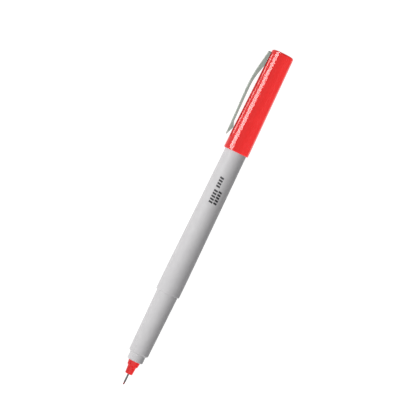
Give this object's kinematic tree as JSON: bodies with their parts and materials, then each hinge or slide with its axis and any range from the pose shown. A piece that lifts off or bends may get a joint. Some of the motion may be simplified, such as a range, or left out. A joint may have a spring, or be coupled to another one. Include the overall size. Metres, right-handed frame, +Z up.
{
  "type": "felt tip marker",
  "caption": "Slim felt tip marker with a sleeved needle nib, a stepped barrel and a clipped cap pushed onto its back end.",
  "frame": {"origin": "on the table under the middle of the pen's bounding box, the pen lying as it rests on the cap's mouth and the clip's lower edge", "axes": "+X along the pen from the nib to the cap's crown, +Y towards the clip's side, +Z up from the table"},
  "size_m": [0.1512, 0.0128, 0.011],
  "materials": {
    "nib_fibre": "fine fibre rod soaked in red ink",
    "sleeve_steel": "drawn stainless tube, fine lines along it",
    "nose_plastic": "satin moulded plastic, red",
    "ink_fibre": "bonded fibre soaked in red ink",
    "barrel_plastic": "satin moulded plastic, light warm grey",
    "film_plastic": "thin clear wrap",
    "plug_plastic": "satin moulded plastic, grey",
    "cap_plastic": "polished moulded plastic, bright red",
    "liner_plastic": "natural, slightly translucent moulded plastic",
    "clip_steel": "tumbled and plated spring steel, satin"
  },
  "bodies": {
    "barrel": {"rear_barrel": "barrel_plastic", "front_section": "barrel_plastic", "nose_cone": "nose_plastic", "tip_sleeve": "sleeve_steel", "nib": "nib_fibre", "relay_wick": "ink_fibre", "ink_reservoir": "ink_fibre", "reservoir_film": "film_plastic", "end_plug": "plug_plastic"},
    "cap_core": {"cap_liner": "liner_plastic"},
    "cap": {"cap_shell": "cap_plastic"},
    "clip": {"clip": "clip_steel"}
  },
  "joints": [
    {"name": "cap_pull", "type": "slide", "parent": "barrel", "child": "cap_core", "axis": [1, 0, 0], "range_m": [0, 0.036]},
    {"name": "cap_twist", "type": "hinge", "parent": "cap_core", "child": "cap", "pos_m": [0.0586, -0.00089, 0.0055], "axis": [1, 0, 0], "continuous": true},
    {"name": "clip_flex", "type": "hinge", "parent": "cap", "child": "clip", "pos_m": [0.07396, 0.0029, 0.00301], "axis": [0, -0.5492, -0.8357], "range_deg": [0, 3.5], "stiffness_Nm_per_rad": 2.2}
  ]
}
